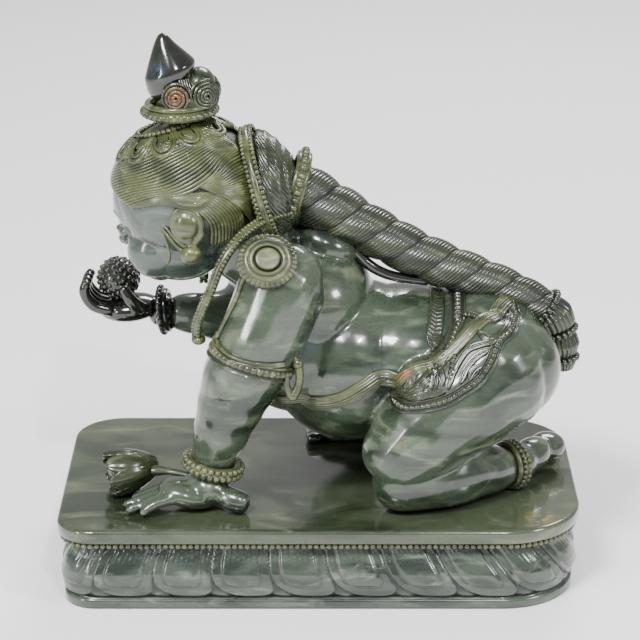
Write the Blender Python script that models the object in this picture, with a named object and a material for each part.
"""A crawling infant deity carved with its lotus plinth from one block of dark green labradorite.

The infant kneels on the left knee and the right foot, leans on the left hand and lifts a ball of
sweetmeat in the right. Metres, +Z up. The origin is the centre of the plinth's underside. The
infant faces -X, and its left side faces -Y. The plinth's sizes are real sizes. The infant's pose
and carving are shares of its own height: one unit is a 182nd of the height from plinth to topknot.
"""

import math

import bmesh
import bpy
from mathutils import Matrix, Vector

# Plinth: a rounded slab over a beaded neck, a band of slanting lotus petals and a foot rim
PLINTH_LENGTH = 0.203
PLINTH_WIDTH = 0.116
SLAB_HEIGHT = 0.0058
BEAD_DIAMETER = 0.0024
LOTUS_HEIGHT = 0.0212
RIM_HEIGHT = 0.0044
CORNER_HEAD_NEAR = 0.015
CORNER_TAIL_NEAR = 0.031
CORNER_TAIL_FAR = 0.028
CORNER_HEAD_FAR = 0.020
SLAB_ROUNDING = 0.0016
NECK_INSET = 0.0045
LOTUS_INSET = 0.0004
RIM_INSET = 0.0018
PETALS = 25
PETAL_RELIEF = 0.0013
PETAL_SLANT_HEAD = 0.12
PETAL_SLANT_TAIL = 0.74
SAMPLES_PER_PETAL = 8

# The infant
FIGURE_HEIGHT = 0.182
UNIT = FIGURE_HEIGHT / 182
CARVING_GRAIN = 0.0011
FIGURE_TRIANGLES = 6800

STONE_COLOUR = (0.13, 0.16, 0.12, 1.0)
STONE_ROUGHNESS = 0.22

# Pose, in units above the slab: x towards the feet, y towards the infant's right, z up
HEAD_CENTRE = (-52.0, -1.0, 113.6)
HEAD_TURN = -15.0
HEAD_BOW = 17.0
BRAID_TWIST = 0.42


def clear_scene():
    """Removes whatever the opened file holds."""
    for old in list(bpy.data.objects):
        bpy.data.objects.remove(old, do_unlink=True)


def smooth_path(points, widths, steps):
    """Catmull-Rom points, with their widths, through the given ones."""
    points = [Vector(p) for p in points]
    ends = [points[0] * 2 - points[1], *points, points[-1] * 2 - points[-2]]
    spread = [widths[0], *widths, widths[-1]]
    path, girth = [], []
    for i in range(len(points) - 1):
        a, b, c, d = ends[i : i + 4]
        wa, wb, wc, wd = spread[i : i + 4]
        for k in range(steps):
            t = k / steps
            square = 2 * a - 5 * b + 4 * c - d
            cube = 3 * b - a - 3 * c + d
            path.append(0.5 * (2 * b + (c - a) * t + square * t**2 + cube * t**3))
            girth.append(wb + (wc - wb) * t * t * (3 - 2 * t))
    return [*path, points[-1]], [*girth, widths[-1]]


class Stock:
    """The rough masses of the carving, gathered in one mesh before they are fused."""

    def __init__(self):
        self.mesh = bmesh.new()
        self.place = Matrix.Identity(4)

    def ball(self, centre, radii, turn=(0, 0, 0)):
        """An ellipsoid. turn is in degrees about its own x, y and z."""
        rx, ry, rz = (radii,) * 3 if isinstance(radii, (int, float)) else radii
        x, y, z = (math.radians(angle) for angle in turn)
        spin = Matrix.Rotation(z, 4, "Z") @ Matrix.Rotation(y, 4, "Y") @ Matrix.Rotation(x, 4, "X")
        matrix = self.place @ Matrix.Translation(centre) @ spin @ Matrix.Diagonal((rx, ry, rz, 1))
        bmesh.ops.create_icosphere(self.mesh, subdivisions=3, radius=1.0, matrix=matrix)

    def limb(self, points, widths, flat=1.0, about=None, sides=14, steps=6):
        """A round-ended tube through points. widths are its radii across, and flat its depth as a
        share of them. It lies flat on a body whose middle is about."""
        path, girth = smooth_path(points, widths, steps)
        length = sum((b - a).length for a, b in zip(path, path[1:]))
        rings, walked = [], 0.0
        for i, (p, w) in enumerate(zip(path, girth)):
            walked += (p - path[i - 1]).length if i else 0.0
            along = (path[min(i + 1, len(path) - 1)] - path[max(i - 1, 0)]).normalized()
            near_end = min(walked, length - walked) / (w * 0.8)
            w *= math.sqrt(max(0.0, 1 - (1 - near_end) ** 2)) if near_end < 1 else 1.0
            rings.append((p, along, max(w, 0.12)))
        self.skin(rings, flat, about, sides, closed=False)

    def ring(self, centre, axis, radii, tube, flat=1.0, sides=10, steps=32):
        """A torus about an axis. radii may be a pair: level first, upright second."""
        across, along = (radii,) * 2 if isinstance(radii, (int, float)) else radii
        axis = Vector(axis).normalized()
        if abs(axis.z) < 0.9:
            other = (Vector((0, 0, 1)) - axis * axis.z).normalized()
            side = other.cross(axis)
        else:
            side = (Vector((1, 0, 0)) - axis * axis.x).normalized()
            other = axis.cross(side)
        rings = []
        for k in range(steps):
            angle = 2 * math.pi * k / steps
            at = Vector(centre) + side * across * math.cos(angle) + other * along * math.sin(angle)
            forward = (other * along * math.cos(angle) - side * across * math.sin(angle)).normalized()
            rings.append((at, forward, tube))
        self.skin(rings, flat, tuple(centre), sides, closed=True)

    def skin(self, rings, flat, about, sides, closed):
        """Joins rings of points into one closed body. The first axis of a ring lies along the
        surface, the second points away from about."""
        loops = []
        for centre, along, width in rings:
            out = centre - Vector(about) if about else Vector((0.13, 0.07, 1.0))
            out = (out - along * out.dot(along)).normalized()
            side = along.cross(out)
            loops.append(
                [
                    self.mesh.verts.new(
                        self.place
                        @ (centre + width * (math.cos(a) * side + flat * math.sin(a) * out))
                    )
                    for a in (2 * math.pi * k / sides for k in range(sides))
                ]
            )
        pairs = list(zip(loops, loops[1:]))
        if closed:
            pairs.append((loops[-1], loops[0]))
        else:
            self.mesh.faces.new(loops[0])
            self.mesh.faces.new(reversed(loops[-1]))
        for first, second in pairs:
            for k in range(sides):
                m = (k + 1) % sides
                self.mesh.faces.new((first[m], first[k], second[k], second[m]))


def head_matrix():
    """The head's own frame: x to the face, y to its left ear, z to the crown."""
    turn = Matrix.Rotation(math.radians(180 + HEAD_TURN), 4, "Z")
    bow = Matrix.Rotation(math.radians(HEAD_BOW), 4, "Y")
    return Matrix.Translation(HEAD_CENTRE) @ turn @ bow


def on_skull(bearing, height, lift=0.0):
    """A point of the hair cap in the head's frame. bearing is in degrees from the face towards
    the left ear, and height in degrees above the ears."""
    b, h = math.radians(bearing), math.radians(height)
    spread = 1 + lift / 28
    return (
        -3 + 29.5 * spread * math.cos(h) * math.cos(b),
        27.5 * spread * math.cos(h) * math.sin(b),
        4 + 27.5 * spread * math.sin(h),
    )


def carve_head(stock):
    """Skull, face, ears and the combed hair with its diadem."""
    stock.place = head_matrix()
    stock.ball((-3, 0, 4), (29, 27, 27))
    stock.ball((9, 0, 4), (18.5, 20.5, 19))
    stock.ball((5, 0, -12), (19.5, 20.5, 18))
    for side in (-1, 1):
        stock.ball((13.5, side * 10.5, -13.5), (11, 10.5, 11))
        stock.ball((23.4, side * 8.8, -3.6), (3.6, 4.6, 2.8))
        stock.limb(
            [(24.0, side * 3.0, 2.2), (24.8, side * 9.0, 4.2), (20.5, side * 15.5, 1.5)],
            [1.0, 1.3, 0.8],
        )
        stock.ring((-8, side * 25.5, -2), (0.15, side, 0), (5.0, 7.6), 1.9, flat=1.3)
        stock.ball((-8, side * 25.8, -1), (3.8, 3.4, 4.2))
        stock.ball((-6.5, side * 25.5, -14.5), (4.3, 3.8, 4.1))
        stock.limb(
            [(4, side * 24.5, 3), (1.5, side * 25.5, -5), (3.5, side * 24, -13)], [1.4, 1.6, 1.0]
        )
    stock.limb([(25.6, 0, 3), (28.4, 0, -5), (29.5, 0, -9)], [1.8, 2.3, 3.2])
    for side in (-1, 1):
        stock.ball((27.0, side * 2.9, -9.6), (2.6, 2.0, 2.0))
    stock.limb([(23.5, -4.6, -15.2), (25.8, 0, -14.6), (23.5, 4.6, -15.2)], [1.0, 1.7, 1.0])
    stock.limb([(23.0, -3.8, -17.6), (25.0, 0, -18.0), (23.0, 3.8, -17.6)], [1.0, 1.8, 1.0])
    stock.ball((18.5, 0, -24.0), (6.4, 7.5, 5.6))

    for side in (-1, 1):
        for k in range(4):
            low = 10 + 14 * k
            stock.limb(
                [
                    on_skull(side * (22 + 7 * k), low + 16, 0.0),
                    on_skull(side * (52 + 7 * k), low + 3, 0.3),
                    on_skull(side * (88 + 6 * k), low + 8, 0.3),
                    on_skull(side * (118 + 5 * k), low + 16, 0.2),
                    on_skull(side * (146 + 4 * k), low + 12, 0.0),
                ],
                [2.2, 3.2, 3.5, 3.2, 2.2],
                flat=0.5,
                about=(-3, 0, 4),
            )
    leaves = 11
    for k in range(leaves):
        bearing = 360 * k / leaves
        stock.limb(
            [on_skull(bearing - 13, 58, 0.6), on_skull(bearing, 42, 2.0), on_skull(bearing + 13, 58, 0.6)],
            [1.3, 2.3, 1.3],
            flat=0.8,
            about=(-3, 0, 4),
        )
        stock.ball(on_skull(bearing + 180 / leaves, 50, 1.4), 1.9)
    stock.place = Matrix.Identity(4)


def carve_topknot(stock):
    """Two beaded rings, coiled locks and the polished bud that stands among them."""
    stock.ring((-53.4, -2, 150.6), (-0.03, 0, 1), 13.4, 2.2)
    stock.ring((-53.5, -2, 153.2), (-0.03, 0, 1), 12.2, 1.7)
    stock.ball((-51, -2, 153), (12.5, 12, 9))
    stock.ball((-44.5, -2, 158.5), (5.4, 7.5, 7.2), (0, 12, 0))
    for y in (-11, 7):
        stock.ball((-54.0, y, 157.6), (6.4, 4.0, 6.0))
        stock.ring((-54.0, y - 2.0 if y < 0 else y + 2.0, 157.6), (0, 1, 0.1), 3.9, 1.5)
    stock.limb([(-43.5, -7.5, 155), (-47, -8.5, 164), (-53, -5, 166)], [2.0, 2.6, 2.0])
    stock.limb([(-43.5, 4, 155), (-47, 5, 164), (-53, 2, 166)], [2.0, 2.6, 2.0])
    stock.limb(
        [(-53.5, -2, 153), (-56.2, -2, 163), (-57.6, -2, 170), (-59.1, -2, 177), (-59.8, -2, 181.6)],
        [7.0, 10.2, 9.0, 5.2, 2.4],
        sides=20,
    )


def carve_hair_fall(stock):
    """The pleated disc behind the head, its beaded tie and the twisted braid down the back."""
    stock.limb([(-24.5, -1, 119.5), (-20.0, -1, 120.8)], [24.0, 23.5], sides=30)
    stock.ring((-22.6, -1, 120.2), (0.96, 0, 0.28), 22.8, 1.9, flat=1.2)
    stock.limb(
        [(-25, 0, 119), (-18.5, 0, 120.5), (-12, 0, 120), (-5, 0, 118)],
        [20, 20.5, 16.5, 12],
        sides=22,
    )
    stock.ring((-9.2, 0, 119.6), (0.96, 0, -0.26), 13.2, 2.2, flat=1.1)

    path = [
        (-9, 0, 118.5), (3, 0, 111), (21, 0, 101), (39, 0, 91.5),
        (58, 0, 83.5), (75, 0, 76.5), (86, 0, 70), (92.5, 0, 61), (95.5, 0, 52),
    ]
    widths = [11.4, 11.0, 9.6, 9.0, 8.6, 8.0, 7.6, 7.2, 6.8]
    spine, girth = smooth_path(path, widths, 7)
    for strand in range(3):
        turned, size = [], []
        for k, (p, w) in enumerate(zip(spine, girth)):
            along = (spine[min(k + 1, len(spine) - 1)] - spine[max(k - 1, 0)]).normalized()
            side = along.cross((0, 1, 0)).normalized()
            angle = BRAID_TWIST * k + 2 * math.pi * strand / 3
            swing = math.cos(angle) * side + math.sin(angle) * Vector((0, 1, 0))
            turned.append(p + 0.36 * w * swing)
            size.append(0.64 * w)
        stock.limb(turned, size, steps=2, sides=12)
    for k in range(5):
        down = k / 4
        place = (95.4 + 1.8 * math.sin(3.1 * down), 0, 59.5 - 11.5 * down)
        stock.ball(place, (7.6 - 1.2 * down, 8.4 - 1.6 * down, 2.8))
    stock.ball((96.2, 0, 46.2), (4.4, 5.2, 3.2))


def carve_trunk(stock):
    """Neck, chest, round belly and hips."""
    stock.limb([(-42, -2, 104), (-26, 0, 96), (-12, 0, 86)], [15, 17, 19], sides=20)
    stock.ball((-4, 0, 74), (25.5, 28, 24), (0, 0, 0))
    stock.ball((3, 0, 97), (13, 12, 8), (0, 25, 0))
    stock.ball((-9, 0, 54), (26, 30, 25.5))
    stock.ball((13, 0, 48.5), (34, 32, 32.5))
    stock.ball((34, 0, 54), (33, 31, 24.5))
    stock.ball((62, 0, 55), (29, 33, 24))


def carve_left_arm(stock):
    """The arm that carries the infant's weight, its shoulder boss, armlet, bangle and hand."""
    stock.limb(
        [
            (-9, -22, 92), (-13, -31, 91), (-20, -35, 75), (-26, -36, 62), (-30, -35.5, 54),
            (-34, -34.5, 43.5), (-37.5, -33, 32.5), (-41.5, -31, 19), (-43, -30, 9),
        ],
        [16, 17, 16.5, 15.8, 15.2, 13.2, 11.2, 8.6, 7.6],
        sides=22,
    )
    for width, lift in ((8.8, 0.0), (5.8, 1.2)):
        stock.ring((-19.5, -43.5 - lift, 104 + lift * 0.7), (0.05, -0.80, 0.60), width, 1.7)
    stock.ball((-19.5, -43.5, 103.6), (4.0, 4.0, 4.4), (35, 0, 0))
    stock.ball((-17, -38.5, 98), (10.0, 8.5, 10.0))
    stock.ring((-25.6, -36.4, 63.8), (0.30, 0.05, 0.95), 15.8, 2.0, flat=1.5)
    stock.ring((-25.9, -36.4, 61.8), (0.30, 0.05, 0.95), 15.6, 1.8)
    loop = [(-11.5, -42, 65), (-6.5, -43.5, 58), (-8.5, -43, 50), (-14, -42, 53)]
    stock.limb(loop, [1.7, 2.0, 2.2, 1.5])
    stock.ring((-41.4, -31, 16.4), (0.22, 0, 0.97), 9.4, 3.0)
    stock.ball((-43.5, -33, 8.0), (9.0, 9.5, 7.4), (0, 10, 0))
    stock.ball((-51.0, -35.0, 6.2), (12.0, 9.6, 5.4), (0, 16, 8))
    tips = [(-69.5, -46.5, 1.9), (-75.5, -43.5, 1.9), (-77.0, -38.5, 2.0), (-74.0, -33.5, 2.6)]
    for k, tip in enumerate(tips):
        root = (-50.0, -40.5 + 4.2 * k, 7.4)
        middle = (-62.0, -43.5 + 4.4 * k, 5.6)
        stock.limb([root, middle, tip], [2.9, 2.8, 2.2])
    stock.limb([(-40, -36, 6.5), (-33, -39.5, 5.0), (-27, -41, 3.4)], [4.2, 4.6, 4.2], flat=0.85)


def carve_right_arm(stock):
    """The lifted arm, its armlet and bangle, the cupped hand and the ball in it."""
    stock.limb(
        [
            (-9, 22, 92), (-13, 31, 90), (-20, 36, 74), (-27, 36, 60),
            (-37, 31, 55.5), (-50, 26, 58), (-62, 22.5, 60.5),
        ],
        [16, 17, 15.5, 13.2, 11.0, 8.6, 6.6],
        sides=20,
    )
    stock.ball((-17, 38.5, 98), (10.0, 8.5, 10.0))
    for width, lift in ((8.8, 0.0), (5.8, 1.2)):
        stock.ring((-19.5, 43.5 + lift, 104 + lift * 0.7), (0.05, 0.80, 0.60), width, 1.7)
    stock.ball((-19.5, 43.5, 103.6), (4.0, 4.0, 4.4), (-35, 0, 0))
    stock.ring((-22.0, 36.5, 70.5), (0.45, 0.02, 0.88), 15.0, 2.0, flat=1.5)
    stock.ring((-63.2, 22.2, 62.2), (0.97, -0.1, 0.22), 8.4, 1.7)
    stock.ring((-63.2, 22.2, 62.2), (0.97, -0.1, 0.22), 6.8, 2.4)
    stock.ball((-76, 21.5, 62.4), (12.5, 9.5, 5.4), (0, -6, 0))
    stock.ball((-80.5, 22, 74.6), (9.0, 9.0, 8.8))
    for k in range(4):
        y = 14.5 + 4.6 * k
        stock.limb(
            [(-82, y, 63.0), (-90, y, 65.5), (-93.6, y, 71.0), (-92.4 + 0.4 * k, y, 76.2)],
            [2.5, 2.5, 2.3, 1.9],
        )
    stock.limb([(-70, 14, 63.5), (-75, 11, 69), (-78.5, 11.6, 75)], [2.8, 2.6, 2.0])


def carve_left_leg(stock):
    """The kneeling leg: thigh, knee, calf along the slab, anklet and the foot tucked behind."""
    stock.limb(
        [(80, -12, 58), (70, -20, 54), (56, -27, 44), (40, -33, 31), (27, -37, 19), (22, -38, 13)],
        [18, 24.5, 22.5, 19, 15.0, 11.5],
        sides=22,
    )
    stock.ball((72, -18, 52), (21.5, 20, 21.5))
    stock.limb(
        [(20, -38, 12.5), (34, -36.5, 12.0), (50, -32, 12.4), (64, -23, 10.5), (77, -13, 8.6)],
        [10.5, 12.2, 12.4, 10.2, 7.2],
        sides=20,
    )
    stock.ring((74.5, -15, 9.2), (0.80, 0.60, -0.05), 8.6, 1.7)
    stock.ring((76.4, -13.4, 9.0), (0.80, 0.60, -0.05), 8.0, 1.4)
    stock.ball((84, -4, 9.0), (10.5, 7.0, 6.6), (0, -6, 52))
    stock.ball((91.5, 8, 7.8), (8.0, 7.5, 5.6), (0, 0, 55))
    for spread in range(-2, 3):
        root = (92.5 + 0.4 * spread, 11 - 1.6 * spread, 6.6 + 0.9 * spread)
        tip = (97.0 - 0.2 * spread, 17 - 2.9 * spread, 6.8 + 1.2 * spread)
        stock.limb([root, tip], [2.5, 2.1])


def carve_right_leg(stock):
    """The leg set down on its sole: thigh along the belly, raised knee, shin and planted foot."""
    stock.limb(
        [(74, 16, 56), (58, 25, 52), (36, 32, 49), (14, 36, 45), (5, 36, 41)],
        [22, 21, 18, 14.5, 11.5],
        sides=20,
    )
    stock.ball((72, 15, 53), (21, 18, 21))
    stock.limb([(4, 36, 42), (9, 36, 30), (19, 35, 18), (24, 34, 8)], [11.0, 11.6, 9.6, 7.4], sides=18)
    stock.ring((21.5, 34.5, 14.0), (-0.45, 0.05, 0.9), 9.4, 1.8)
    stock.limb([(29, 34, 5.2), (18, 34, 6.2), (6, 34, 4.6), (-1, 34.5, 3.6)], [6.4, 7.0, 6.6, 5.4], flat=0.8)
    for k in range(5):
        y = 27.8 + 3.3 * k
        tip = (-5.0 - 1.2 * math.sin(0.6 * k + 0.6), y - 0.3 * (2 - k), 2.8)
        stock.limb([(1, y, 3.2), tip], [2.3, 2.2])


def carve_dress(stock):
    """Belt, hip cloth with its festooned hems, the sash and the garland of the shoulders."""
    stock.ring((42, 0, 53.5), (0.97, 0, -0.20), (32.6, 25.6), 2.6, flat=1.0, steps=44)
    stock.ring((48, 0, 54.5), (0.97, 0, -0.20), (33.6, 25.4), 2.3, flat=1.0, steps=44)
    for side in (-1, 1):
        hem = [
            (76, 9, 78), (73, 29, 71), (66, 38, 67), (60.3, 43, 57.5),
            (49, 45.5, 50), (37, 43.5, 45.5), (27, 36, 46),
        ]
        hem = [(x, side * y, z) for x, y, z in hem]
        stock.limb(hem, [1.8, 2.6, 3.0, 3.0, 3.0, 2.6, 1.6])
        stock.ball((62, side * 26, 53), (17, 16.5, 15.5), (0, 30, 14 * -side))
        stock.ball((44, side * 30, 48), (15, 14, 11), (0, 30, 14 * -side))
    near_sash = [
        (80, -6, 78.5), (72, -15, 77), (59.4, -29, 72), (48, -35, 65), (34.6, -36.5, 58),
        (21, -34.5, 50.7), (7.7, -31.5, 43.5), (-6, -29.8, 39.5), (-17, -26, 38.0),
        (-28, -12, 37), (-30, 4, 37),
    ]
    near_widths = [2.6, 3.0, 3.4, 3.6, 3.6, 3.4, 3.2, 3.0, 2.8, 2.6, 2.2]
    far_sash = [
        (82, 7, 79), (72, 17, 77), (58, 27, 73), (40, 34.5, 63),
        (20, 34.5, 53), (2, 32.5, 44), (-14, 29, 39), (-27, 16, 37),
    ]
    far_widths = [2.6, 3.0, 3.2, 3.4, 3.2, 3.0, 2.8, 2.4]
    waist = (15, 0, 52)
    stock.limb(near_sash, near_widths, flat=0.6, about=waist)
    stock.limb(far_sash, far_widths, flat=0.6, about=waist)
    near_garland = [
        (-10.7, -12, 112.5), (-20.9, -21, 111.5), (-29.8, -29, 107.5), (-36.5, -34, 99.5),
        (-41.5, -35, 88), (-45.5, -32.5, 76), (-46, -31.5, 69),
    ]
    stock.limb(near_garland, [2.2, 2.6, 2.6, 2.6, 2.4, 2.4, 2.8])
    far_garland = [
        (-11, 15, 113), (-22, 25, 108), (-30, 29, 99), (-36, 24, 87),
        (-37, 10, 77), (-37, -8, 71), (-40, -22, 69), (-44, -28, 67),
    ]
    stock.limb(far_garland, [2.2, 2.6, 2.4, 2.4, 2.6, 2.6, 2.6, 2.2])


def carve_flower(stock):
    """The lotus bud that lies under the infant's fingers, and its stem."""
    centre = Vector((-74.3, -20.5, 9.4))
    axis = Vector((-0.96, -0.22, -0.14)).normalized()
    stock.limb(
        [centre - axis * 11, centre - axis * 5, centre + axis * 2.5, centre + axis * 7.5],
        [3.0, 7.4, 9.0, 7.4],
        sides=18,
    )
    side = axis.cross((0, 0, 1)).normalized()
    up = side.cross(axis)
    petals = 6
    for k in range(petals):
        angle = 2 * math.pi * (k + 0.5) / petals
        out = side * math.cos(angle) + up * math.sin(angle)
        if (centre + out * 9).z < 2:
            continue
        foot = centre - axis * 12 + out * 2
        belly = centre - axis * 3 + out * 7.8
        stock.limb(
            [foot, belly, centre + axis * 5 + out * 8.6, centre + axis * 9.5 + out * 6.0],
            [1.6, 4.2, 4.4, 2.4],
            flat=0.42,
            about=tuple(centre),
        )
    stock.limb([centre - axis * 10, (-61, -25.5, 11.0), (-53, -28.5, 10.5)], [2.2, 1.7, 1.6])


def fused_figure():
    """All masses of the infant as one closed, lightly smoothed skin of few triangles."""
    stock = Stock()
    for carve in (
        carve_head,
        carve_topknot,
        carve_hair_fall,
        carve_trunk,
        carve_left_arm,
        carve_right_arm,
        carve_left_leg,
        carve_right_leg,
        carve_dress,
        carve_flower,
    ):
        carve(stock)
    shape = bpy.data.meshes.new("figure_stock")
    stock.mesh.to_mesh(shape)
    stock.mesh.free()
    plinth_top = RIM_HEIGHT + LOTUS_HEIGHT + BEAD_DIAMETER + SLAB_HEIGHT
    shape.transform(Matrix.Translation((0, 0, plinth_top)) @ Matrix.Scale(UNIT, 4))
    figure = bpy.data.objects.new("figure_stock", shape)
    bpy.context.scene.collection.objects.link(figure)
    fuse = figure.modifiers.new("fuse", "REMESH")
    fuse.mode = "VOXEL"
    fuse.voxel_size = CARVING_GRAIN
    ease = figure.modifiers.new("ease", "SMOOTH")
    ease.factor = 0.5
    ease.iterations = 3
    graph = bpy.context.evaluated_depsgraph_get()
    fine = bpy.data.meshes.new_from_object(figure.evaluated_get(graph))
    bpy.data.objects.remove(figure, do_unlink=True)
    figure = bpy.data.objects.new("figure", fine)
    bpy.context.scene.collection.objects.link(figure)
    triangles = sum(len(face.vertices) - 2 for face in fine.polygons)
    thin = figure.modifiers.new("thin", "DECIMATE")
    thin.ratio = min(1.0, FIGURE_TRIANGLES / triangles)
    return figure


def corner_outline(inset, count):
    """count points round the plinth, evenly spaced, inset from the slab's edge."""
    half_length, half_width = PLINTH_LENGTH / 2, PLINTH_WIDTH / 2
    corners = (
        (1, -1, CORNER_TAIL_NEAR, -90),
        (1, 1, CORNER_TAIL_FAR, 0),
        (-1, 1, CORNER_HEAD_FAR, 90),
        (-1, -1, CORNER_HEAD_NEAR, 180),
    )
    dense = []
    for sx, sy, radius, start in corners:
        middle = Vector((sx * (half_length - radius), sy * (half_width - radius), 0))
        for k in range(17):
            angle = math.radians(start + 90 * k / 16)
            dense.append(middle + (radius - inset) * Vector((math.cos(angle), math.sin(angle), 0)))
    dense.append(dense[0])
    lengths = [(b - a).length for a, b in zip(dense, dense[1:])]
    total = sum(lengths)
    points, walked, i = [], 0.0, 0
    for k in range(count):
        target = total * k / count
        while walked + lengths[i] < target:
            walked += lengths[i]
            i += 1
        points.append(dense[i].lerp(dense[i + 1], (target - walked) / lengths[i]))
    return points


def petal_depth(around, up, along):
    """How far the petals stand out, from 0 in the seam between two to 1 on a petal's field. They
    slant more towards the feet, where along is 1."""
    slant = PETAL_SLANT_HEAD + (PETAL_SLANT_TAIL - PETAL_SLANT_HEAD) * along
    place = (around - slant * (1 - up)) % 1.0
    across = abs(place - 0.5) * 2
    if up < 0.12:
        across = max(across, 1 - up / 0.12)
    if across > 0.86:
        return 0.0
    return 0.55 if across > 0.62 else 1.0


def build_plinth():
    """The slab, its neck, the petalled band and the foot rim, as one closed body."""
    count = PETALS * SAMPLES_PER_PETAL
    lotus_low = RIM_HEIGHT
    lotus_high = RIM_HEIGHT + LOTUS_HEIGHT
    neck_high = lotus_high + BEAD_DIAMETER
    top = neck_high + SLAB_HEIGHT
    rows = [(0.0, RIM_INSET, None), (RIM_HEIGHT * 0.8, RIM_INSET * 0.8, None)]
    petal_rows = 6
    for k in range(petal_rows):
        up = k / (petal_rows - 1)
        swell = math.sin(math.pi * min(1.0, 0.25 + 0.85 * up) ** 0.9)
        inset = LOTUS_INSET + (NECK_INSET - LOTUS_INSET) * (1 - swell) * (0.6 if up < 0.4 else 1.0)
        rows.append((lotus_low + (lotus_high - lotus_low) * up, inset, up))
    rows += [
        (neck_high, BEAD_DIAMETER * 0.5, None),
        (neck_high + SLAB_ROUNDING * 0.6, 0.0, None),
        (top - SLAB_ROUNDING, 0.0, None),
        (top, SLAB_ROUNDING, None),
    ]
    mesh = bmesh.new()
    loops = []
    for z, inset, up in rows:
        loop = []
        for k, point in enumerate(corner_outline(inset, count)):
            if up is not None:
                along = min(1.0, max(0.0, 0.5 + point.x / PLINTH_LENGTH))
                relief = PETAL_RELIEF * (petal_depth(k / SAMPLES_PER_PETAL, up, along) - 1)
                inward = corner_outline_inward(point)
                point = point - inward * relief
            loop.append(mesh.verts.new((point.x, point.y, z)))
        loops.append(loop)
    for low, high in zip(loops, loops[1:]):
        for k in range(count):
            m = (k + 1) % count
            mesh.faces.new((low[k], low[m], high[m], high[k]))
    mesh.faces.new(reversed(loops[0]))
    mesh.faces.new(loops[-1])
    shape = bpy.data.meshes.new("plinth")
    mesh.to_mesh(shape)
    mesh.free()
    plinth = bpy.data.objects.new("plinth", shape)
    bpy.context.scene.collection.objects.link(plinth)
    return plinth


def corner_outline_inward(point):
    """The level direction from a point of the outline towards the plinth's middle line."""
    reach = PLINTH_LENGTH / 2 - PLINTH_WIDTH / 2
    target = Vector((max(-reach, min(reach, point.x)), 0, 0))
    return (target - Vector((point.x, point.y, 0))).normalized()


def stone():
    """Dark green polished labradorite."""
    material = bpy.data.materials.new("labradorite")
    material.use_nodes = True
    shader = material.node_tree.nodes["Principled BSDF"]
    shader.inputs["Base Color"].default_value = STONE_COLOUR
    shader.inputs["Roughness"].default_value = STONE_ROUGHNESS
    shader.inputs["Metallic"].default_value = 0.0
    return material


def main():
    clear_scene()
    plinth = build_plinth()
    figure = fused_figure()
    figure.hide_render = True
    figure.display_type = "WIRE"
    plinth.name = "crawling_infant_on_plinth"
    join = plinth.modifiers.new("figure", "BOOLEAN")
    join.operation = "UNION"
    join.object = figure
    plinth.data.materials.append(stone())


main()
